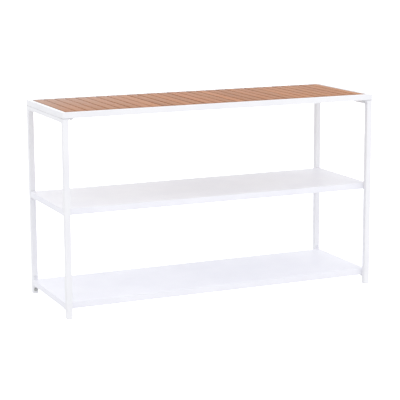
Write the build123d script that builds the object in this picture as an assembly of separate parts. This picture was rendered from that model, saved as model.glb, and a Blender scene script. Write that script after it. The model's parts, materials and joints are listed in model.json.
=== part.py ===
from build123d import *
import os

# A long, low console table: a white tube frame, a top of wooden slats that run front to back,
# and two folded sheet shelves between the legs.
# Millimetres. +Z is up, +X runs along the length, -Y is the front.
# The origin is on the floor, under the middle of the table.

# Overall size
length = 1160.0
depth = 400.0
height = 695.0

# Tubes
leg_size = 20.0
rail_width = 15.0
rail_height = 20.0
end_rail_height = 15.0
tube_wall = 1.5
tube_corner = 1.5

# Slatted top
slat_count = 29
slat_width = 34.0
slat_thickness = 12.0
slat_recess = 0.5
slat_end_gap = 2.0
slat_edge_round = 1.5
ledge_width = 16.0
ledge_height = 7.0
ledge_thickness = 2.0

# Shelves
shelf_height = 22.0
shelf_sheet = 1.2
shelf_corner = 3.0
shelf_bend = 2.0
shelf_lip = 26.0
shelf_gap = 0.25
middle_shelf_underside = 350.0
bottom_shelf_underside = 30.5
stiffener_width = 60.0
stiffener_top = 30.0
stiffener_height = 14.0
stiffener_end_gap = 40.0

# Glides and hole plugs
glide_thickness = 4.0
glide_plug_height = 7.0
glide_clearance = 0.05
glide_round = 1.0
plug_head_radius = 6.0
plug_head_height = 1.6
plug_stem_radius = 4.0
plug_stem_length = 5.0
plug_above_shelf = 9.0

# Top tabs, and the inset cap that leaves a shadow line above each leg
tab_width = 13.0
tab_length = 18.0
tab_drop = 6.0
tab_thickness = 2.5
cap_height = 1.2
cap_inset = 1.0

# Brackets under the bottom shelf
bracket_width = 18.0
bracket_drop = 26.0
bracket_depth = 24.0
bracket_thickness = 2.0

# Fasteners
hole_clearance = 0.05
tab_screw_radius = 2.5
tab_screw_head_radius = 5.0
tab_screw_head_height = 3.2
tab_screw_length = 9.0
bolt_radius = 3.0
bolt_flange_radius = 7.0
bolt_flange_height = 1.2
bolt_hex_flats = 10.0
bolt_hex_height = 4.0
bolt_length = 9.0
wood_screw_radius = 1.75
wood_screw_head_radius = 3.5
wood_screw_head_height = 1.8
wood_screw_length = 10.0

# Derived places
half_length = length / 2
half_depth = depth / 2
frame_underside = height - rail_height
leg_x = half_length - leg_size / 2
leg_y = half_depth - leg_size / 2
leg_inner_y = half_depth - leg_size
leg_inner_x = half_length - leg_size
inner_length = length - 2 * rail_width
inner_depth = depth - 2 * rail_width
slat_length = inner_depth - 2 * slat_end_gap
slat_gap = (inner_length - slat_count * slat_width) / (slat_count + 1)
slat_pitch = slat_width + slat_gap
slat_underside = height - slat_recess - slat_thickness
slat_screw_y = inner_depth / 2 - ledge_width * 0.62
shelf_length = length
shelf_depth = depth - 2 * leg_size - 2 * shelf_gap
shelf_side_y = shelf_depth / 2
plug_z = bottom_shelf_underside + shelf_height + plug_above_shelf
tab_screw_x = leg_inner_x - tab_length * 0.58
tab_screw_y = half_depth - rail_width / 2
bracket_bolt_z = bottom_shelf_underside - bracket_drop * 0.6
bracket_lip_bolt_y = leg_inner_y - bracket_depth * 0.62
shelf_bolt_z = middle_shelf_underside + shelf_height / 2

ends = {"left": -1, "right": 1}
faces = {"front": -1, "back": 1}


def save(shape, node):
    """Write one piece under its own name."""
    shape.label = node
    export_step(shape, os.path.join("parts", node + ".step"))


def block(x_range, y_range, z_range):
    """A box between two values on each axis."""
    size = [high - low for low, high in (sorted(x_range), sorted(y_range), sorted(z_range))]
    centre = [sum(span) / 2 for span in (x_range, y_range, z_range)]
    return Pos(*centre) * Box(*size)


def tube(width, thickness, run):
    """A hollow tube standing on the XY plane, centred on Z."""
    inner_corner = tube_corner * 0.4
    outer = extrude(RectangleRounded(width, thickness, tube_corner), run)
    bore = RectangleRounded(width - 2 * tube_wall, thickness - 2 * tube_wall, inner_corner)
    return outer - extrude(bore, run)


def group(solids):
    """Several separate solids kept as one piece."""
    return Compound(children=solids)


# Top frame

def mitre_wedge(corners):
    """A tall prism whose plan cuts both ends of a rail at 45 degrees."""
    plan = make_face(Polyline(*corners, close=True))
    return Pos(0, 0, frame_underside - 1) * extrude(plan, rail_height + 2)


def long_rail(side):
    """Front or back rail, with a threaded hole for a tab screw near each end."""
    outer_y = side * half_depth
    inner_y = side * (half_depth - rail_width)
    stock = tube(rail_height, rail_width, length)
    centre_y = (outer_y + inner_y) / 2
    rail = Pos(-half_length, centre_y, frame_underside + rail_height / 2) * Rot(0, 90, 0) * stock
    inner_x = half_length - rail_width
    plan = [(-half_length, outer_y), (half_length, outer_y), (inner_x, inner_y), (-inner_x, inner_y)]
    rail = rail & mitre_wedge(plan)
    for end in ends.values():
        hole = Cylinder(tab_screw_radius + hole_clearance, 4 * tube_wall)
        rail -= Pos(end * tab_screw_x, side * tab_screw_y, frame_underside) * hole
    return rail


def short_rail(end):
    """Left or right rail of the top frame."""
    outer_x = end * half_length
    inner_x = end * (half_length - rail_width)
    stock = tube(rail_width, rail_height, depth)
    centre_x = (outer_x + inner_x) / 2
    rail = Pos(centre_x, half_depth, frame_underside + rail_height / 2) * Rot(90, 0, 0) * stock
    inner_y = half_depth - rail_width
    plan = [(outer_x, -half_depth), (outer_x, half_depth), (inner_x, inner_y), (inner_x, -inner_y)]
    return rail & mitre_wedge(plan)


def slat_ledge(side):
    """An angle inside the front or back rail that carries the slat ends."""
    wall_y = side * inner_depth / 2
    reach_y = wall_y - side * ledge_width
    web_y = wall_y - side * ledge_thickness
    run = (-inner_length / 2, inner_length / 2)
    flat = block(run, (wall_y, reach_y), (slat_underside - ledge_thickness, slat_underside))
    web = block(run, (wall_y, web_y), (slat_underside - ledge_height, slat_underside))
    ledge = flat + web
    for index in range(slat_count):
        hole = Cylinder(wood_screw_radius + hole_clearance, 4 * ledge_thickness)
        ledge -= Pos(slat_centre(index), side * slat_screw_y, slat_underside) * hole
    return ledge


def slat_centre(index):
    """X of one slat, counted from the left."""
    return (index - (slat_count - 1) / 2) * slat_pitch


def slat(index):
    """One slat with rounded long edges on top and two blind screw holes below."""
    board = Box(slat_width, slat_length, slat_thickness)
    board = fillet(board.edges().filter_by(Axis.Y).group_by(Axis.Z)[-1], slat_edge_round)
    hole_depth = wood_screw_length - ledge_thickness + 0.5
    for side in faces.values():
        hole = Cylinder(wood_screw_radius + hole_clearance, 2 * hole_depth)
        board -= Pos(0, side * slat_screw_y, -slat_thickness / 2) * hole
    return Pos(slat_centre(index), 0, slat_underside + slat_thickness / 2) * board


def slat_screws():
    """Pan-head screws up through the ledges, two for each slat."""
    head_z = slat_underside - ledge_thickness
    head = Cylinder(wood_screw_head_radius, wood_screw_head_height,
                    align=(Align.CENTER, Align.CENTER, Align.MAX))
    shank = Cylinder(wood_screw_radius, wood_screw_length,
                     align=(Align.CENTER, Align.CENTER, Align.MIN))
    screw = head + shank
    places = [(slat_centre(index), side * slat_screw_y, head_z)
              for index in range(slat_count) for side in faces.values()]
    return group([Pos(*place) * screw for place in places])


# Legs and end rails

def leg(end, side):
    """A capped square tube, with holes on its inner face for the bolts and the plug."""
    run = frame_underside - cap_height - glide_thickness
    post = Pos(0, 0, glide_thickness) * tube(leg_size, leg_size, run)
    cap_width = leg_size - 2 * cap_inset
    cap = Box(cap_width, cap_width, cap_height, align=(Align.CENTER, Align.CENTER, Align.MAX))
    post = Pos(end * leg_x, side * leg_y, 0) * (post + Pos(0, 0, frame_underside) * cap)
    wall_y = side * leg_inner_y
    for bolt_z in (bracket_bolt_z, shelf_bolt_z):
        bolt_hole = Rot(90, 0, 0) * Cylinder(bolt_radius + hole_clearance, 4 * tube_wall)
        post -= Pos(end * leg_x, wall_y, bolt_z) * bolt_hole
    plug_hole = Rot(90, 0, 0) * Cylinder(plug_stem_radius + hole_clearance, 4 * tube_wall)
    return post - Pos(end * leg_x, wall_y, plug_z) * plug_hole


def end_rail(end):
    """The tube between the front and back leg of one end, right under the top frame."""
    run = 2 * leg_inner_y
    stock = tube(leg_size, end_rail_height, run)
    middle_z = frame_underside - end_rail_height / 2
    return Pos(end * leg_x, leg_inner_y, middle_z) * Rot(90, 0, 0) * stock


def glide():
    """A plastic foot plate with a plug that fills the end of a leg."""
    plate = Box(leg_size, leg_size, glide_thickness, align=(Align.CENTER, Align.CENTER, Align.MIN))
    plate = fillet(plate.edges().filter_by(Axis.Z), tube_corner)
    plate = fillet(plate.edges().group_by(Axis.Z)[0], glide_round)
    bore = leg_size - 2 * tube_wall - 2 * glide_clearance
    plug = Box(bore, bore, glide_plug_height, align=(Align.CENTER, Align.CENTER, Align.MIN))
    plug = fillet(plug.edges().filter_by(Axis.Z), tube_corner)
    return plate + Pos(0, 0, glide_thickness) * plug


# Fixings between the top frame and the legs

def top_tab(end, side):
    """An angle welded to a leg, with its flat part under the long rail."""
    face_x = end * leg_inner_x
    near_x = face_x - end * tab_thickness
    far_x = face_x - end * tab_length
    span_y = (side * (tab_screw_y - tab_width / 2), side * (tab_screw_y + tab_width / 2))
    flat = block((face_x, far_x), span_y, (frame_underside - tab_thickness, frame_underside))
    web = block((face_x, near_x), span_y, (frame_underside - tab_drop, frame_underside))
    hole = Cylinder(tab_screw_radius + hole_clearance, 4 * tab_thickness)
    return flat + web - Pos(end * tab_screw_x, side * tab_screw_y, frame_underside) * hole


def tab_screws():
    """One button-head screw up through each tab into the rail."""
    head_z = frame_underside - tab_thickness
    head = Cylinder(tab_screw_head_radius, tab_screw_head_height,
                    align=(Align.CENTER, Align.CENTER, Align.MAX))
    head = fillet(head.edges().group_by(Axis.Z)[0], tab_screw_head_height * 0.6)
    shank = Cylinder(tab_screw_radius, tab_screw_length,
                     align=(Align.CENTER, Align.CENTER, Align.MIN))
    screw = head + shank
    places = [(end * tab_screw_x, side * tab_screw_y, head_z)
              for end in ends.values() for side in faces.values()]
    return group([Pos(*place) * screw for place in places])


# Shelves

def tray_form(inset):
    """The tray's outer form made smaller by an inset: round corners, and bent edges top and bottom."""
    form = Box(shelf_length - 2 * inset, shelf_depth - 2 * inset, shelf_height - 2 * inset,
               align=(Align.CENTER, Align.CENTER, Align.MIN))
    form = fillet(form.edges().filter_by(Axis.Z), shelf_corner - inset)
    levels = form.edges().group_by(Axis.Z)
    form = fillet(levels[0] + levels[-1], shelf_bend - inset)
    return Pos(0, 0, inset) * form


def tray(underside):
    """A folded tray: flat top, four flanges and a return lip all round underneath."""
    mouth = Box(shelf_length - 2 * shelf_lip, shelf_depth - 2 * shelf_lip, shelf_height / 2,
                align=(Align.CENTER, Align.CENTER, Align.MIN))
    return Pos(0, 0, underside) * (tray_form(0) - tray_form(shelf_sheet) - mouth)


def middle_shelf():
    """The tray between the legs, with a bolt hole in its side flanges at each leg."""
    shelf = tray(middle_shelf_underside)
    for end in ends.values():
        for side in faces.values():
            hole = Rot(90, 0, 0) * Cylinder(bolt_radius + hole_clearance, 4 * shelf_sheet)
            shelf -= Pos(end * leg_x, side * shelf_side_y, shelf_bolt_z) * hole
    return shelf


def bottom_shelf():
    """The tray on the brackets, with a bolt hole in its return lip over each one."""
    shelf = tray(bottom_shelf_underside)
    for end in ends.values():
        for side in faces.values():
            hole = Cylinder(bolt_radius + hole_clearance, 4 * shelf_sheet)
            shelf -= Pos(end * leg_x, side * bracket_lip_bolt_y, bottom_shelf_underside) * hole
    return shelf


def stiffener(underside):
    """A hat section along the shelf, welded to the underside of its top sheet."""
    run = shelf_length - 2 * shelf_lip - 2 * stiffener_end_gap
    flange = (stiffener_width - stiffener_top) / 2
    half_width = stiffener_width / 2
    crown = half_width - flange
    sheet = shelf_sheet
    lower = stiffener_height - sheet
    outline = [(-half_width, 0), (-half_width, -sheet), (-crown - sheet, -sheet),
               (-crown, -lower - sheet), (crown, -lower - sheet), (crown + sheet, -sheet),
               (half_width, -sheet), (half_width, 0), (crown, 0), (crown - sheet, -lower),
               (-crown + sheet, -lower), (-crown, 0)]
    profile = Plane.YZ * make_face(Polyline(*outline, close=True))
    ceiling = underside + shelf_height - shelf_sheet
    return Pos(-run / 2, 0, ceiling) * extrude(profile, run)


def shelf_bracket(end, side):
    """An angle under a bottom shelf corner: one plate on the leg, one under the return lip."""
    underside = bottom_shelf_underside
    wall_y = side * leg_inner_y
    plate_y = wall_y - side * bracket_thickness
    reach_y = wall_y - side * bracket_depth
    span_x = (end * leg_x - bracket_width / 2, end * leg_x + bracket_width / 2)
    plate = block(span_x, (wall_y, plate_y), (underside - bracket_drop, underside))
    seat = block(span_x, (wall_y, reach_y), (underside - bracket_thickness, underside))
    bolt_hole = Cylinder(bolt_radius + hole_clearance, 4 * bracket_thickness)
    wall_hole = Pos(end * leg_x, wall_y, bracket_bolt_z) * Rot(90, 0, 0) * bolt_hole
    lip_hole = Pos(end * leg_x, side * bracket_lip_bolt_y, underside) * bolt_hole
    return plate + seat - wall_hole - lip_hole


def shelf_brackets():
    """The four brackets under the bottom shelf."""
    return group([shelf_bracket(end, side) for end in ends.values() for side in faces.values()])


def flange_bolt():
    """A hexagon flange bolt along +Z: head below z = 0, shank above."""
    flange = Cylinder(bolt_flange_radius, bolt_flange_height,
                      align=(Align.CENTER, Align.CENTER, Align.MAX))
    hexagon = extrude(RegularPolygon(bolt_hex_flats / 2, 6, major_radius=False), -bolt_hex_height)
    shank = Cylinder(bolt_radius, bolt_length, align=(Align.CENTER, Align.CENTER, Align.MIN))
    return flange + Pos(0, 0, -bolt_flange_height) * hexagon + shank


def bracket_bolts():
    """Two equal bolts in each bracket: one into the leg, one up into the return lip."""
    bolt = flange_bolt()
    placed = []
    for end in ends.values():
        for side in faces.values():
            wall_y = side * (leg_inner_y - bracket_thickness)
            placed.append(Pos(end * leg_x, wall_y, bracket_bolt_z) * Rot(-90 * side, 0, 0) * bolt)
            lip_z = bottom_shelf_underside - bracket_thickness
            placed.append(Pos(end * leg_x, side * bracket_lip_bolt_y, lip_z) * bolt)
    return group(placed)


def shelf_bolts():
    """One bolt at each corner of the middle shelf, from inside its side flange into the leg."""
    bolt = flange_bolt()
    wall_y = shelf_side_y - shelf_sheet
    return group([Pos(end * leg_x, side * wall_y, shelf_bolt_z) * Rot(-90 * side, 0, 0) * bolt
                  for end in ends.values() for side in faces.values()])


def hole_plugs():
    """A domed plastic plug in the spare hole of each leg, just above the bottom shelf."""
    head = Cylinder(plug_head_radius, plug_head_height, align=(Align.CENTER, Align.CENTER, Align.MAX))
    head = fillet(head.edges().group_by(Axis.Z)[0], plug_head_height * 0.7)
    stem = Cylinder(plug_stem_radius, plug_stem_length, align=(Align.CENTER, Align.CENTER, Align.MIN))
    plug = head + stem
    return group([Pos(end * leg_x, side * leg_inner_y, plug_z) * Rot(-90 * side, 0, 0) * plug
                  for end in ends.values() for side in faces.values()])


os.makedirs("parts", exist_ok=True)

for side_name, side_sign in faces.items():
    save(long_rail(side_sign), f"top_rail_{side_name}")
    save(slat_ledge(side_sign), f"slat_ledge_{side_name}")
for end_name, end_sign in ends.items():
    save(short_rail(end_sign), f"top_rail_{end_name}")
    save(end_rail(end_sign), f"end_rail_{end_name}")
for slat_index in range(slat_count):
    save(slat(slat_index), f"slat_{slat_index + 1:02d}")
save(slat_screws(), "slat_screws")

for side_name, side_sign in faces.items():
    for end_name, end_sign in ends.items():
        corner = f"{side_name}_{end_name}"
        save(leg(end_sign, side_sign), f"leg_{corner}")
        save(Pos(end_sign * leg_x, side_sign * leg_y, 0) * glide(), f"glide_{corner}")
        save(top_tab(end_sign, side_sign), f"top_tab_{corner}")
save(tab_screws(), "tab_screws")

save(middle_shelf(), "shelf_middle")
save(stiffener(middle_shelf_underside), "stiffener_middle")
save(shelf_bolts(), "shelf_bolts")
save(bottom_shelf(), "shelf_bottom")
save(stiffener(bottom_shelf_underside), "stiffener_bottom")
save(shelf_brackets(), "shelf_brackets")
save(bracket_bolts(), "bracket_bolts")
save(hole_plugs(), "hole_plugs")
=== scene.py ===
"""Looks for the console table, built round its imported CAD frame. Metres throughout."""
import json
import math
import random

import bpy
from mathutils import Matrix, Vector


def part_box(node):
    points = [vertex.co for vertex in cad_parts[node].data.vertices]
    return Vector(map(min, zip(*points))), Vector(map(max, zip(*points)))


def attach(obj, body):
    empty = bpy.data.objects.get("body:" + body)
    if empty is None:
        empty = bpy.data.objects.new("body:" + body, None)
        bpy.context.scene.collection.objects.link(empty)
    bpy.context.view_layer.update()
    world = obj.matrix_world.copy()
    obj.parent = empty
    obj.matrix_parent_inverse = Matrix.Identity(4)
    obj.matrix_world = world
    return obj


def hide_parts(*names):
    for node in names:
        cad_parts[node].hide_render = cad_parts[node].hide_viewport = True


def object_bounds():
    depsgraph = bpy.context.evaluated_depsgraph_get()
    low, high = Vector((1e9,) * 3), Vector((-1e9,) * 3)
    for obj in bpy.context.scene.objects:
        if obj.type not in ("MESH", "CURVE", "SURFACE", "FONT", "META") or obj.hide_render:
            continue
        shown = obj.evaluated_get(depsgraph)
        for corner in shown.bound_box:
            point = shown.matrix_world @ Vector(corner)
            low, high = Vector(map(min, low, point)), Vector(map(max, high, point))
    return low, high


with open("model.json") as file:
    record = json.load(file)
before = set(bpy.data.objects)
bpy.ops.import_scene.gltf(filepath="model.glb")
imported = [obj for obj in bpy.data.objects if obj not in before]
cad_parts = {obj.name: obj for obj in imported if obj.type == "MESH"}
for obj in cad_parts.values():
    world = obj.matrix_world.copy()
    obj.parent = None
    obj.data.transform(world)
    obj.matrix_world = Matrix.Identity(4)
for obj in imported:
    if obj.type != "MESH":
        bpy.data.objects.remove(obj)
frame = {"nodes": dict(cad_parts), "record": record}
cad_low, cad_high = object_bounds()
nodes = frame["nodes"]
scene = bpy.context.scene
BODY = "root"
MM = 0.001
SIDES = (("front", -1), ("back", 1))
ENDS = (("left", -1), ("right", 1))


# Node helpers

class Graph:
    """A material, and a short way to add nodes to it."""

    def __init__(self, name):
        self.material = bpy.data.materials.new(name)
        self.material.use_nodes = True
        self.tree = self.material.node_tree
        self.shader = self.tree.nodes["Principled BSDF"]

    def put(self, made, values):
        """Set or link a node's inputs by name or number."""
        for key, value in values.items():
            socket = made.inputs[key]
            if isinstance(value, bpy.types.NodeSocket):
                self.tree.links.new(value, socket)
            else:
                socket.default_value = value

    def add(self, kind, values=None, **settings):
        """A new node, with its inputs and its settings."""
        made = self.tree.nodes.new("ShaderNode" + kind)
        for key, value in settings.items():
            setattr(made, key, value)
        self.put(made, values or {})
        return made

    def math(self, operation, first, second=0.0):
        """One value out of one or two."""
        return self.add("Math", {0: first, 1: second}, operation=operation).outputs[0]

    def stretch(self, vector, scale):
        """Coordinates scaled by a fixed amount on each axis."""
        return self.add("VectorMath", {0: vector, 1: scale}, operation="MULTIPLY").outputs[0]

    def noise(self, vector, scale, detail=2.0, roughness=0.5):
        """Noise from 0 to 1; the scale is in lumps per metre."""
        made = self.add("TexNoise", {"Vector": vector, "Scale": scale, "Detail": detail,
                                     "Roughness": roughness})
        return made.outputs[0]

    def spread(self, value, low, high, to_low=0.0, to_high=1.0):
        """A value moved from one range to another, and clamped."""
        made = self.add("MapRange", {0: value, 1: low, 2: high, 3: to_low, 4: to_high})
        return made.outputs[0]

    def blend(self, factor, first, second, mode="MIX"):
        """Two colours mixed."""
        made = self.add("Mix", data_type="RGBA", blend_type=mode)
        self.put(made, {0: factor, 6: first, 7: second})
        return made.outputs[2]

    def bump(self, height, distance, strength, normal=None):
        """A normal with relief of a given depth, on top of another one if there is one."""
        made = self.add("Bump", {"Height": height, "Distance": distance, "Strength": strength})
        if normal is not None:
            self.put(made, {"Normal": normal})
        return made.outputs[0]

    def finish(self, **values):
        """Set the shader's own sockets; underscores in a name stand for spaces."""
        self.put(self.shader, {key.replace("_", " "): value for key, value in values.items()})
        return self.material

    def place(self):
        """Where a point lies on the table, in metres."""
        return self.add("TexCoord").outputs["Object"]


def srgb(red, green, blue):
    """A linear colour from 0-255 display values."""
    def linear(value):
        share = value / 255
        return share / 12.92 if share <= 0.04045 else ((share + 0.055) / 1.055) ** 2.4
    return (linear(red), linear(green), linear(blue), 1.0)


# Materials

def powder_coat(name, tone, tone_worn, roughness, joint=None):
    """A satin powder coat: fine orange peel and a faint drift in tone.

    A joint gives the low and high edge of a painted shadow line along the joint, and how far out
    the legs start.
    """
    g = Graph(name)
    place = g.place()
    drift = g.spread(g.noise(place, 9.0, 3.0), 0.35, 0.65)
    grain = g.noise(place, 1400.0, 2.0, 0.6)
    peel = g.noise(place, 420.0, 1.0)
    colour = g.blend(drift, tone, tone_worn)
    if joint:
        low, high, leg_edge = joint
        y, z = g.add("SeparateXYZ", {0: place}).outputs[1:3]
        from_middle = g.math("ABSOLUTE", g.math("SUBTRACT", z, (low + high) / 2))
        half = (high - low) / 2
        # Painted shadow: a dark line where the rails meet the legs, fainter away from the legs.
        shade_line = g.spread(from_middle, half - JOINT_FADE, half, 1.0, 0.0)
        on_leg = g.spread(g.math("ABSOLUTE", y), leg_edge - LEG_FADE, leg_edge, SHADE_OFF_LEG, 1.0)
        colour = g.blend(g.math("MULTIPLY", shade_line, on_leg), colour, JOINT_SHADE, "MULTIPLY")
    gloss = g.spread(g.noise(place, 60.0, 3.0), 0.3, 0.7, roughness - 0.05, roughness + 0.05)
    normal = g.bump(grain, 0.02 * MM, 0.5, g.bump(peel, 0.05 * MM, 0.6))
    return g.finish(Base_Color=colour, Roughness=gloss, Normal=normal, Metallic=0.0)


def slat_wood(name, first_x, pitch, half_run):
    """Oiled teak: growth rings, fibres and pores, cut differently for each slat.

    It is paler towards the left and the back, a painted sheen. first_x is where the first slat's
    share of the row starts, and half_run is half a slat's length.
    """
    g = Graph(name)
    place = g.place()
    x, y, z = g.add("SeparateXYZ", {0: place}).outputs
    index = g.math("FLOOR", g.math("DIVIDE", g.math("SUBTRACT", x, first_x), pitch))
    chance = g.add("TexWhiteNoise", {"W": index}, noise_dimensions="1D")
    cut_x, cut_z, cut_rings = g.add("SeparateColor", {0: chance.outputs["Color"]}).outputs
    again = g.add("TexWhiteNoise", {"W": g.math("ADD", index, SECOND_DRAW)}, noise_dimensions="1D")
    tone, hue = g.add("SeparateColor", {0: again.outputs["Color"]}).outputs[:2]

    middle = g.math("ADD", g.math("MULTIPLY", index, pitch), first_x + pitch / 2)
    local_x = g.math("SUBTRACT", x, middle)
    along = g.math("ADD", y, g.math("MULTIPLY", index, GRAIN_SHIFT))
    board = g.add("CombineXYZ", {0: local_x, 1: along, 2: z}).outputs[0]

    def grain(across_scale, along_scale, detail=2.0, roughness=0.5):
        """Noise drawn out along the slat."""
        stretched = g.stretch(board, (across_scale, along_scale, across_scale))
        return g.noise(stretched, 1.0, detail, roughness)

    heart_x = g.spread(cut_x, 0.0, 1.0, -HEART_ASIDE, HEART_ASIDE)
    across = g.math("ADD", g.math("SUBTRACT", local_x, heart_x),
                    g.math("MULTIPLY", grain(14.0, 2.2), RING_SWEEP))
    heart_depth = g.spread(cut_z, 0.0, 1.0, *HEART_DEPTHS)
    down = g.math("ADD", g.math("SUBTRACT", z, cad_high.z), heart_depth)
    reach = g.math("SQRT", g.math("ADD", g.math("MULTIPLY", across, across),
                                  g.math("MULTIPLY", down, down)))
    reach = g.math("ADD", reach, g.math("MULTIPLY", grain(60.0, 9.0), RING_RIPPLE))
    rings = g.math("MULTIPLY", reach, g.spread(cut_rings, 0.0, 1.0, *RINGS_PER_METRE))
    late = g.math("POWER", g.math("FRACT", rings), 2.2)

    fibre = grain(900.0, 14.0, 3.0, 0.62)
    pores = g.spread(grain(2300.0, 95.0, 1.0, 0.4), 0.62, 0.74)
    body = g.spread(grain(210.0, 3.0, 3.0, 0.55), 0.3, 0.7)
    colour = g.blend(body, WOOD_EARLY, WOOD_MIDDLE)
    colour = g.blend(g.math("MULTIPLY", late, 0.62), colour, WOOD_LATE)
    colour = g.blend(g.spread(fibre, 0.3, 0.7, 0.0, 0.35), colour, WOOD_PALE)
    colour = g.blend(g.math("MULTIPLY", pores, 0.55), colour, WOOD_PORE)
    warm = g.blend(hue, WOOD_TINT_RED, WOOD_TINT_GOLD)
    drift = g.spread(grain(9.0, 4.0), 0.3, 0.7, 0.0, 0.5)
    shade = g.math("MULTIPLY", g.math("ADD", g.math("MULTIPLY", tone, 0.75), drift), 0.8)
    colour = g.blend(1.0, colour, g.blend(shade, WOOD_TONE_DARK, warm), "MULTIPLY")
    # Painted sheen: the top is blended towards a pale tone at the left end and the back.
    by_end = g.spread(x, first_x, first_x / 4, *SHEEN_LEFT_TO_MIDDLE)
    by_depth = g.spread(y, -half_run, half_run, *SHEEN_FRONT_TO_BACK)
    colour = g.blend(g.math("MULTIPLY", by_end, by_depth), colour, WOOD_SHEEN)

    # Darker towards the slat ends.
    from_end = g.math("SUBTRACT", half_run, g.math("ABSOLUTE", y))
    end_darkening = g.spread(from_end, 0.0, END_DARK_REACH, END_DARKNESS, 0.0)
    colour = g.blend(end_darkening, colour, WOOD_END, "MULTIPLY")
    true_normal = g.add("NewGeometry").outputs["True Normal"]
    normal_x, _, normal_z = g.add("SeparateXYZ", {0: true_normal}).outputs
    # Painted shade on the slat sides down in the gaps, fading out towards the left end.
    on_side = g.spread(g.math("ABSOLUTE", normal_x), 0.25, 0.9)
    gap_shade = g.math("MULTIPLY", on_side, g.spread(x, first_x * 0.6, 0.0, 0.0, SIDE_SHADE))
    colour = g.blend(gap_shade, colour, WOOD_GAP_SHADE, "MULTIPLY")
    raw = g.spread(normal_z, -0.9, -0.5, 0.8, 0.0)
    colour = g.blend(raw, colour, g.blend(body, WOOD_RAW, WOOD_RAW_DARK))

    gloss = g.spread(fibre, 0.3, 0.7, 0.44, 0.6)
    relief = g.math("SUBTRACT", g.math("MULTIPLY", fibre, 0.6), pores)
    normal = g.bump(relief, 0.12 * MM, 0.5, g.bump(late, 0.05 * MM, 0.4))
    return g.finish(Base_Color=colour, Roughness=gloss, Specular_IOR_Level=0.3, Normal=normal)


def plated_steel(name):
    """Zinc plate with a faint cloudy passivation."""
    g = Graph(name)
    place = g.place()
    cloud = g.spread(g.noise(place, 260.0, 4.0), 0.3, 0.7)
    colour = g.blend(cloud, ZINC_COOL, ZINC_WARM)
    scratch = g.noise(g.stretch(place, (3000.0, 3000.0, 700.0)), 1.0, 2.0)
    gloss = g.spread(scratch, 0.3, 0.7, 0.28, 0.45)
    return g.finish(Base_Color=colour, Roughness=gloss, Metallic=1.0,
                    Normal=g.bump(scratch, 0.01 * MM, 0.4))


def moulded_plastic(name, tone, tone_dark, roughness):
    """Moulded plastic with a spark-eroded grain."""
    g = Graph(name)
    place = g.place()
    cloud = g.spread(g.noise(place, 120.0, 3.0), 0.3, 0.7)
    grain = g.noise(place, 2600.0, 2.0)
    gloss = g.spread(grain, 0.3, 0.7, roughness - 0.06, roughness + 0.06)
    return g.finish(Base_Color=g.blend(cloud, tone, tone_dark), Roughness=gloss,
                    Normal=g.bump(grain, 0.03 * MM, 0.5))


# Wood: its colours and tints
WOOD_EARLY = srgb(197, 133, 84)
WOOD_MIDDLE = srgb(182, 113, 66)
WOOD_LATE = srgb(137, 78, 44)
WOOD_PALE = srgb(209, 147, 96)
WOOD_PORE = srgb(84, 46, 28)
WOOD_END = srgb(150, 140, 136)
WOOD_SHEEN = srgb(190, 162, 148)
WOOD_GAP_SHADE = (0.45, 0.38, 0.34, 1.0)
WOOD_RAW = srgb(206, 200, 192)
WOOD_RAW_DARK = srgb(192, 184, 174)
WOOD_TONE_DARK = (0.79, 0.77, 0.75, 1.0)
WOOD_TINT_RED = (1.08, 0.98, 0.95, 1.0)
WOOD_TINT_GOLD = (1.02, 1.04, 0.98, 1.0)

# Wood: how each slat is cut from its log, the painted sheen on the top, the darker ends and the
# painted shade in the gaps
GRAIN_SHIFT = 3.7
SECOND_DRAW = 71.3
HEART_ASIDE = 50 * MM
HEART_DEPTHS = (12 * MM, 70 * MM)
RINGS_PER_METRE = (240.0, 420.0)
RING_SWEEP = 16 * MM
RING_RIPPLE = 2.2 * MM
SHEEN_LEFT_TO_MIDDLE = (0.46, 0.1)
SHEEN_FRONT_TO_BACK = (0.2, 1.5)
END_DARK_REACH = 22 * MM
END_DARKNESS = 0.5
SIDE_SHADE = 0.5

# Zinc plate, and the painted shadow line along the joint above the legs and end rails
ZINC_COOL = srgb(176, 181, 188)
ZINC_WARM = srgb(190, 188, 180)
JOINT_SHADE = (0.42, 0.42, 0.43, 1.0)
JOINT_HEIGHT = 1.2 * MM
JOINT_FADE = 0.1 * MM
LEG_FADE = 1 * MM
SHADE_OFF_LEG = 0.3

leg_low, leg_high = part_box("leg_back_left")
SLAT_COUNT = sum(name.startswith("slat_") and name[5:].isdigit() for name in nodes)
slat_low, slat_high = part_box("slat_01")
slat_pitch = (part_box("slat_02")[0] - slat_low).x
slat_gap = slat_pitch - (slat_high.x - slat_low.x)

finishes = {
    "frame_paint": powder_coat("frame_paint", srgb(240, 240, 243), srgb(236, 236, 240), 0.36,
                               (leg_high.z - JOINT_HEIGHT, leg_high.z, leg_low.y)),
    "shelf_paint": powder_coat("shelf_paint", srgb(240, 240, 246), srgb(236, 236, 243), 0.34),
    "slat_wood": slat_wood("slat_wood", slat_low.x - slat_gap / 2, slat_pitch, slat_high.y),
    "plated_steel": plated_steel("plated_steel"),
    "glide_plastic": moulded_plastic("glide_plastic", srgb(236, 236, 239), srgb(228, 228, 232),
                                     0.5),
    "plug_plastic": moulded_plastic("plug_plastic", srgb(230, 230, 235), srgb(222, 222, 228),
                                    0.45),
}
for part in frame["record"]["subparts"]:
    for holder in nodes[part["node"]].material_slots:
        holder.material = finishes[part["material_slot"]]


# Mesh helpers

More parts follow.
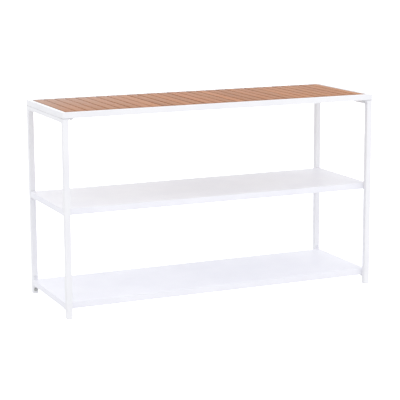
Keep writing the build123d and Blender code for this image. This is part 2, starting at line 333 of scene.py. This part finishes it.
class Solid:
    """Rings of points gathered into one mesh."""

    def __init__(self):
        self.points = []
        self.faces = []

    def loft(self, rings, place=None):
        """Join rings of equal length with quads, and cap the two ends."""
        start, count = len(self.points), len(rings[0])
        for ring in rings:
            self.points += [place @ Vector(point) if place else Vector(point) for point in ring]
        last = start + (len(rings) - 1) * count
        for low in range(start, last, count):
            high = low + count
            for step in range(count):
                after = (step + 1) % count
                self.faces.append((low + step, low + after, high + after, high + step))
        self.faces.append(tuple(start + step for step in reversed(range(count))))
        self.faces.append(tuple(last + step for step in range(count)))

    def turn(self, profile, count, place):
        """A turned shape from pairs of radius and height in millimetres."""
        self.loft([around(radius, height, count) for radius, height in profile], place)

    def make(self, name, slot, *replaced):
        """The finished piece, with crisp edges where its faces turn sharply."""
        mesh = bpy.data.meshes.new(name)
        mesh.from_pydata(self.points, [], self.faces)
        mesh.polygons.foreach_set("use_smooth", [True] * len(mesh.polygons))
        mesh.set_sharp_from_angle(angle=SHARP_ANGLE)
        mesh.materials.append(finishes[slot])
        piece = bpy.data.objects.new(name, mesh)
        scene.collection.objects.link(piece)
        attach(piece, BODY)
        if replaced:
            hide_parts(*replaced)


def around(radius_at, height, count):
    """One ring about +Z, given in millimetres; its radius may depend on the angle."""
    ring = []
    for step in range(count):
        angle = 2 * math.pi * step / count
        radius = (radius_at(angle) if callable(radius_at) else radius_at) * MM
        ring.append((radius * math.cos(angle), radius * math.sin(angle), height * MM))
    return ring


def hexagon(flats, limit):
    """Radius of a hexagon at an angle, cut back to a circle where the corners are chamfered."""
    def radius_at(angle):
        turn = (angle + math.pi / 6) % (math.pi / 3) - math.pi / 6
        return min(flats / 2 / math.cos(turn), limit)
    return radius_at


def cross(arm, width):
    """Radius of a cross-shaped recess at an angle."""
    def radius_at(angle):
        turn = (angle + math.pi / 4) % (math.pi / 2) - math.pi / 4
        return min(arm, width / max(abs(math.sin(turn)), 0.001))
    return radius_at


def shank(radius, length, pitch):
    """The profile of a threaded shank that runs up from z = 0."""
    profile = [(radius * 0.88, 0.0)]
    for turn in range(int(length / pitch)):
        base = turn * pitch
        profile += [(radius * 0.82, base + pitch * 0.1), (radius, base + pitch * 0.5),
                    (radius, base + pitch * 0.6)]
    return profile + [(radius * 0.7, length)]


def flange_bolt(solid, place):
    """A hexagon flange bolt: head below z = 0, threaded shank above."""
    head = [(1.2, -5.2), (hexagon(10, 4.6), -5.2), (hexagon(10, 5.2), -4.9),
            (hexagon(10, 5.8), -4.5), (hexagon(10, 5.8), -1.9), (6.1, -1.6), (6.7, -1.1),
            (7.0, -0.8), (7.0, -0.1), (6.8, 0.0)]
    solid.turn(head + shank(3, 9, 1), ROUND_STEPS, place)


def button_screw(solid, place):
    """A button-head screw with a hexagon socket: head below z = 0."""
    head = [(hexagon(3, 1.6), -1.3), (hexagon(3, 2), -1.35), (hexagon(3, 2), -3.05), (2.2, -3.2),
            (3.2, -3.05), (4.1, -2.5), (4.75, -1.6), (5.0, -0.7), (5.0, 0.0)]
    solid.turn(head + shank(2.5, 9, 1), ROUND_STEPS, place)


def pan_screw(solid, place):
    """A pan-head wood screw with a cross recess: head below z = 0."""
    head = [(0.3, -0.5), (cross(1.9, 0.45), -0.9), (cross(2.1, 0.55), -1.72), (2.3, -1.76),
            (3.0, -1.45), (3.4, -0.9), (3.5, -0.3), (3.45, 0.0)]
    solid.turn(head + [(1.75, 0.0), (1.7, 8), (0.3, 10)], SMALL_STEPS, place)


def plug(solid, place):
    """A domed hole plug with a flat moulding gate: head below z = 0."""
    head = [(0.6, -1.5), (0.8, -1.6), (2.4, -1.58), (4.2, -1.4), (5.3, -1.05), (5.85, -0.6),
            (6.0, -0.2), (5.95, 0.0)]
    stem = [(4.0, 0.0), (4.0, 1.6), (4.05, 3.2), (3.7, 4.2), (3.2, 5.0)]
    solid.turn(head + stem, ROUND_STEPS, place)


def bead(solid, first, last, toward, radius, luck):
    """A fillet weld along a corner: overlapping ripples that bulge toward the open side."""
    run = last - first
    outward = toward.normalized()
    across = run.normalized().cross(outward)
    count = max(6, int(run.length / (radius * RIPPLE_STEP)))
    angles = [2 * math.pi * turn / BEAD_SIDES for turn in range(BEAD_SIDES)]
    rings = []
    for index in range(count + 1):
        share = index / count
        taper = math.sqrt(max(0.0, 1 - (2 * share - 1) ** 8)) * 0.85 + 0.12
        ripple = 1 + 0.07 * math.sin(index * 2.1) + luck.uniform(-0.05, 0.05)
        size = radius * taper * ripple
        middle = first + run * share + across * luck.uniform(-0.04, 0.04) * radius
        rings.append([middle + outward * size * math.cos(angle) + across * size * math.sin(angle)
                      for angle in angles])
    solid.loft(rings)


# How finely the turned and welded shapes are divided
SHARP_ANGLE = math.radians(38)
ROUND_STEPS = 48
SMALL_STEPS = 32
BEAD_SIDES = 12
RIPPLE_STEP = 0.32


# Slats

def slat_board(name, luck):
    """One eased board: rounded edges, softened ends, a trace of bow, and a place set by hand."""
    low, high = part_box(name)
    width, length, thick = high - low
    middle = (low + high) / 2
    lift = luck.uniform(0.0, SLAT_LIFT)
    slide = luck.uniform(-SLAT_SLIDE, SLAT_SLIDE)
    nudge = luck.uniform(-SLAT_NUDGE, SLAT_NUDGE)
    yaw = luck.uniform(-SLAT_YAW, SLAT_YAW)
    bow = luck.uniform(-SLAT_BOW, SLAT_BOW)
    place = Matrix.Translation(middle + Vector((nudge, slide, lift))) @ Matrix.Rotation(yaw, 4, "Z")
    turns = [math.pi / 2 * part / ROUND_PARTS for part in range(ROUND_PARTS + 1)]
    near_end = [(SLAT_END_ROUND * (1 - math.sin(turn)) - length / 2,
                 SLAT_END_ROUND * (1 - math.cos(turn))) for turn in reversed(turns)]
    stations = near_end + [(length * share, 0.0) for share in (-0.4, -0.25, -0.1, 0.1, 0.25, 0.4)]
    stations += [(-y, inset) for y, inset in reversed(near_end)]
    rings = []
    for y, inset in stations:
        half_x, half_z = width / 2 - inset, thick / 2 - inset
        ring = []
        for corner, (side_x, side_z) in enumerate(((1, 1), (-1, 1), (-1, -1), (1, -1))):
            radius = SLAT_TOP_ROUND if side_z > 0 else SLAT_LOW_ROUND
            for turn in turns:
                angle = corner * math.pi / 2 + turn
                ring.append((side_x * (half_x - radius) + radius * math.cos(angle),
                             y, side_z * (half_z - radius) + radius * math.sin(angle)))
        shift = bow * (1 - (2 * y / length) ** 2)
        rings.append([(x + shift, y, z) for x, y, z in ring])
    solid = Solid()
    solid.loft([list(reversed(ring)) for ring in rings], place)
    solid.make(name + "_board", "slat_wood", name)


# The slats' rounded edges, and how far one may sit from its true place
ROUND_PARTS = 4
SLAT_TOP_ROUND = 1.5 * MM
SLAT_LOW_ROUND = 0.8 * MM
SLAT_END_ROUND = 0.7 * MM
SLAT_LIFT = 0.4 * MM
SLAT_SLIDE = 0.5 * MM
SLAT_NUDGE = 0.45 * MM
SLAT_BOW = 0.25 * MM
SLAT_YAW = 0.0009

board_luck = random.Random(29)
for index in range(SLAT_COUNT):
    slat_board(f"slat_{index + 1:02d}", board_luck)


# Fasteners and plugs: the sheet that each one goes through, and where it goes

BRACKET_SHEET = 2 * MM
BRACKET_BOLT_DROP = 15.6 * MM
LIP_BOLT_INSET = 14.88 * MM
SHELF_SHEET = 1.2 * MM
TAB_SHEET = 2.5 * MM
TAB_SCREW_REACH = 10.44 * MM
SLAT_SCREW_INSET = 7.92 * MM
LEDGE_SHEET = 2 * MM
PLUG_ABOVE_SHELF = 9 * MM

bolts, shelf_bolts, tab_screws, slat_screws, plugs = (Solid() for _ in range(5))
shelf_low, shelf_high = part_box("shelf_bottom")
middle_low, middle_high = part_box("shelf_middle")


def facing(side):
    """A turn that points a fastener's shank at the leg on that side."""
    return Matrix.Rotation(-side * math.pi / 2, 4, "X")


for side_name, side in SIDES:
    for end_name, end in ENDS:
        corner = f"{side_name}_{end_name}"
        leg_low, leg_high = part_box("leg_" + corner)
        leg_x = (leg_low.x + leg_high.x) / 2
        inner_y = leg_low.y if side > 0 else leg_high.y
        wall = Vector((leg_x, inner_y - side * BRACKET_SHEET, shelf_low.z - BRACKET_BOLT_DROP))
        flange_bolt(bolts, Matrix.Translation(wall) @ facing(side))
        lip = Vector((leg_x, inner_y - side * LIP_BOLT_INSET, shelf_low.z - BRACKET_SHEET))
        flange_bolt(bolts, Matrix.Translation(lip))
        flange_y = side * (middle_high.y - SHELF_SHEET)
        flange = Vector((leg_x, flange_y, (middle_low.z + middle_high.z) / 2))
        flange_bolt(shelf_bolts, Matrix.Translation(flange) @ facing(side))
        spare = Vector((leg_x, inner_y, shelf_high.z + PLUG_ABOVE_SHELF))
        plug(plugs, Matrix.Translation(spare) @ facing(side))
        tab_low, tab_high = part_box("top_tab_" + corner)
        root_x = tab_high.x if end > 0 else tab_low.x
        under = Vector((root_x - end * TAB_SCREW_REACH, (tab_low.y + tab_high.y) / 2,
                        tab_high.z - TAB_SHEET))
        button_screw(tab_screws, Matrix.Translation(under))

screw_turns = random.Random(5)
for index in range(SLAT_COUNT):
    low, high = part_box(f"slat_{index + 1:02d}")
    for side in (-1, 1):
        y = side * (high.y - SLAT_SCREW_INSET)
        spot = Vector(((low.x + high.x) / 2, y, low.z - LEDGE_SHEET))
        turn = Matrix.Rotation(screw_turns.uniform(0, math.pi / 2), 4, "Z")
        pan_screw(slat_screws, Matrix.Translation(spot) @ turn)

bolts.make("bracket_bolt_set", "plated_steel", "bracket_bolts")
shelf_bolts.make("shelf_bolt_set", "plated_steel", "shelf_bolts")
tab_screws.make("tab_screw_set", "plated_steel", "tab_screws")
slat_screws.make("slat_screw_set", "plated_steel", "slat_screws")
plugs.make("hole_plug_set", "plug_plastic", "hole_plugs")


# Welds

WELD = 1.3 * MM
WELD_INSET = 1.6 * MM
TAB_WELD = WELD * 0.7
TAB_WELD_LIFT = 0.3 * MM
TAB_WELD_DROP = 1.2 * MM
STITCHES = 8
STITCH_REACH = 13 * MM
SPOTS = 9
SPOT_INSET = 7.5 * MM
SPOT_STEPS = 24
weld_luck = random.Random(7)


def spaced(start, stop, count):
    """The middles of equal shares of a run."""
    return [start + (stop - start) * (index + 0.5) / count for index in range(count)]


def end_rail_welds(solid, end_name):
    """A fillet across the underside of an end rail where it meets each leg."""
    low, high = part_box("end_rail_" + end_name)
    for y, side in ((low.y, -1), (high.y, 1)):
        first = Vector((low.x + WELD_INSET, y, low.z))
        last = Vector((high.x - WELD_INSET, y, low.z))
        bead(solid, first, last, Vector((0, -side, -1)), WELD, weld_luck)


def tab_welds(solid, corner, end):
    """Fillets down both edges of a tab's foot on its leg, and below it."""
    low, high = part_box("top_tab_" + corner)
    root_x = high.x if end > 0 else low.x
    base, peak = low.z + TAB_WELD_LIFT, high.z - TAB_WELD_DROP
    for y, side in ((low.y, -1), (high.y, 1)):
        bead(solid, Vector((root_x, y, base)), Vector((root_x, y, peak)),
             Vector((-end, side, 0)), TAB_WELD, weld_luck)
    bead(solid, Vector((root_x, low.y, low.z)), Vector((root_x, high.y, low.z)),
         Vector((-end, 0, -1)), TAB_WELD, weld_luck)


def ledge_welds(solid, side_name, side):
    """Stitch welds between a slat ledge and its rail, seen from below."""
    low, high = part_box("slat_ledge_" + side_name)
    wall_y = high.y if side > 0 else low.y
    for x in spaced(low.x, high.x, STITCHES):
        bead(solid, Vector((x - STITCH_REACH, wall_y, low.z)),
             Vector((x + STITCH_REACH, wall_y, low.z)), Vector((0, -side, -1)), WELD, weld_luck)


def stiffener_welds(solid, node):
    """Spot-weld buttons along both flanges of a stiffener."""
    low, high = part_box(node)
    button = [(0.4, -0.26), (1.3, -0.3), (2.0, -0.42), (2.5, -0.25), (2.6, 0.0)]
    for x in spaced(low.x, high.x, SPOTS):
        for y in (low.y + SPOT_INSET, high.y - SPOT_INSET):
            solid.turn(button, SPOT_STEPS, Matrix.Translation((x, y, high.z - SHELF_SHEET)))


frame_welds, shelf_welds = Solid(), Solid()
for end_name, end in ENDS:
    end_rail_welds(frame_welds, end_name)
    for side_name, side in SIDES:
        tab_welds(frame_welds, f"{side_name}_{end_name}", end)
for side_name, side in SIDES:
    ledge_welds(frame_welds, side_name, side)
for node in ("stiffener_middle", "stiffener_bottom"):
    stiffener_welds(shelf_welds, node)
frame_welds.make("frame_welds", "frame_paint")
shelf_welds.make("shelf_spot_welds", "shelf_paint")


# Stage

def split_by_ray(tree, output, lit, seen):
    """One shader for the light that reaches the table, and another for what shows around it."""
    either = tree.nodes.new("ShaderNodeMixShader")
    ray = tree.nodes.new("ShaderNodeLightPath")
    tree.links.new(ray.outputs["Is Camera Ray"], either.inputs[0])
    tree.links.new(lit.outputs[0], either.inputs[1])
    tree.links.new(seen.outputs[0], either.inputs[2])
    tree.links.new(either.outputs[0], tree.nodes[output].inputs["Surface"])


def make_floor():
    """A wide, pale floor, exposed to white as a studio sweep is."""
    corners = [(-FLOOR_REACH, -FLOOR_REACH, 0), (FLOOR_REACH, -FLOOR_REACH, 0),
               (FLOOR_REACH, FLOOR_REACH, 0), (-FLOOR_REACH, FLOOR_REACH, 0)]
    mesh = bpy.data.meshes.new("floor")
    mesh.from_pydata(corners, [], [(0, 1, 2, 3)])
    floor = bpy.data.objects.new("floor", mesh)
    scene.collection.objects.link(floor)
    g = Graph("floor_white")
    mottle = g.spread(g.noise(g.place(), 3.0, 2.0), 0.3, 0.7)
    shade = g.blend(mottle, FLOOR_BOUNCE, FLOOR_BOUNCE_DULL)
    lit = g.add("Emission", {"Color": shade, "Strength": 1.0})
    g.finish(Base_Color=shade, Roughness=0.9, Emission_Color=(1.0, 1.0, 1.0, 1.0),
             Emission_Strength=FLOOR_SEEN)
    split_by_ray(g.tree, "Material Output", lit, g.shader)
    mesh.materials.append(g.material)


def studio_light(name, azimuth, elevation, power, size, distance):
    """A square softbox aimed at the table; azimuth 0 is straight in front, and 90 to the right."""
    turn, lift = math.radians(azimuth), math.radians(elevation)
    toward = Vector((math.sin(turn) * math.cos(lift), -math.cos(turn) * math.cos(lift),
                     math.sin(lift)))
    data = bpy.data.lights.new(name, "AREA")
    data.shape = "SQUARE"
    data.size = size
    data.energy = power
    light = bpy.data.objects.new(name, data)
    scene.collection.objects.link(light)
    light.location = (cad_low + cad_high) / 2 + toward * distance
    light.rotation_mode = "QUATERNION"
    light.rotation_quaternion = toward.to_track_quat("Z", "Y")


def make_world():
    """Even white light, with a brighter white for the empty background."""
    world = bpy.data.worlds.new("studio")
    world.use_nodes = True
    tree = world.node_tree
    lit = tree.nodes["Background"]
    seen = tree.nodes.new("ShaderNodeBackground")
    for background, strength in ((lit, WORLD_LIGHT), (seen, WORLD_SEEN)):
        background.inputs["Color"].default_value = WORLD_TINT
        background.inputs["Strength"].default_value = strength
    split_by_ray(tree, "World Output", lit, seen)
    scene.world = world


FLOOR_REACH = 30.0
FLOOR_BOUNCE = (0.9, 0.9, 0.91, 1.0)
FLOOR_BOUNCE_DULL = (0.873, 0.873, 0.8827, 1.0)
FLOOR_SEEN = 0.85
WORLD_LIGHT = 1.1
WORLD_SEEN = 1.3
WORLD_TINT = (0.985, 0.99, 1.0, 1.0)

make_floor()
make_world()
studio_light("key", 35, 28, power=11.5, size=2.2, distance=3.6)
studio_light("fill", -25, 40, power=4.0, size=2.2, distance=3.6)
studio_light("sheen", 166, 8, power=2.5, size=1.6, distance=6.0)
scene.view_settings.view_transform = "Standard"
scene.view_settings.look = "None"


# Camera

CAMERA_YAW = math.radians(23.826)
CAMERA_PITCH = math.radians(10.973)
CAMERA_ROLL = math.radians(-0.3)
CAMERA_PLACE = (-2.027, -4.5766, 1.2947)
CAMERA_LENS = 128.16

camera_data = bpy.data.cameras.new("camera")
camera_data.sensor_width = 36.0
camera_data.lens = CAMERA_LENS
camera_data.clip_end = 200.0
camera = bpy.data.objects.new("camera", camera_data)
scene.collection.objects.link(camera)
camera.matrix_world = (Matrix.Translation(CAMERA_PLACE)
                       @ Matrix.Rotation(-CAMERA_YAW, 4, "Z")
                       @ Matrix.Rotation(math.pi / 2 - CAMERA_PITCH, 4, "X")
                       @ Matrix.Rotation(CAMERA_ROLL, 4, "Z"))
scene.camera = camera
